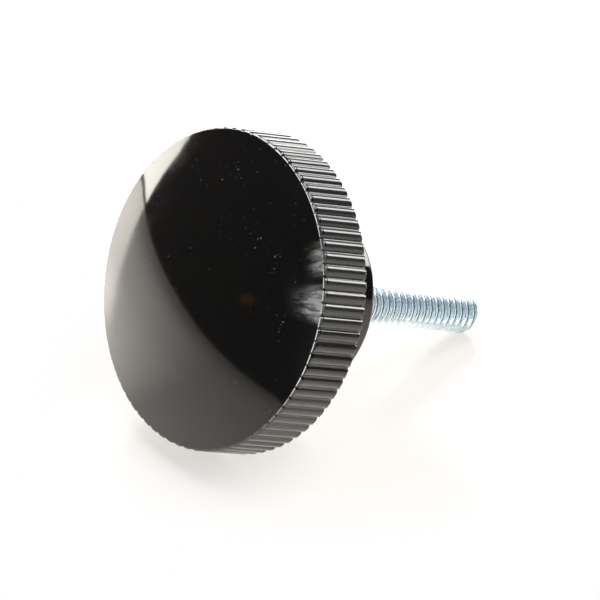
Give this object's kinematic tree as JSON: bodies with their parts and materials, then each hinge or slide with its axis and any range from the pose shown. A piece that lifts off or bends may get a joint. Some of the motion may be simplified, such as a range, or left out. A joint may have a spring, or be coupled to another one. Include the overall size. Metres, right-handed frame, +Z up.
{
  "type": "knurled knob",
  "caption": "Low-domed knob with a ribbed rim, a round hub and a moulded-in threaded steel stud, for clamping or adjusting by hand.",
  "frame": {"origin": "on the surface the knob lies on, under the middle of its outline", "axes": "+Z up; +X along the longest extent, from the dome toward the end of the stud; the knob lies on two ribs at the back edge of its rim and on the end of its stud, so its own axis is tipped down toward +X"},
  "size_m": [0.0584, 0.0476, 0.0463],
  "materials": {
    "head_plastic": "glossy moulded thermoset, near black",
    "stud_steel": "bright zinc plate with a slight blue cast"
  },
  "bodies": {
    "root": {"knob_head": "head_plastic", "threaded_stud": "stud_steel"}
  },
  "joints": []
}
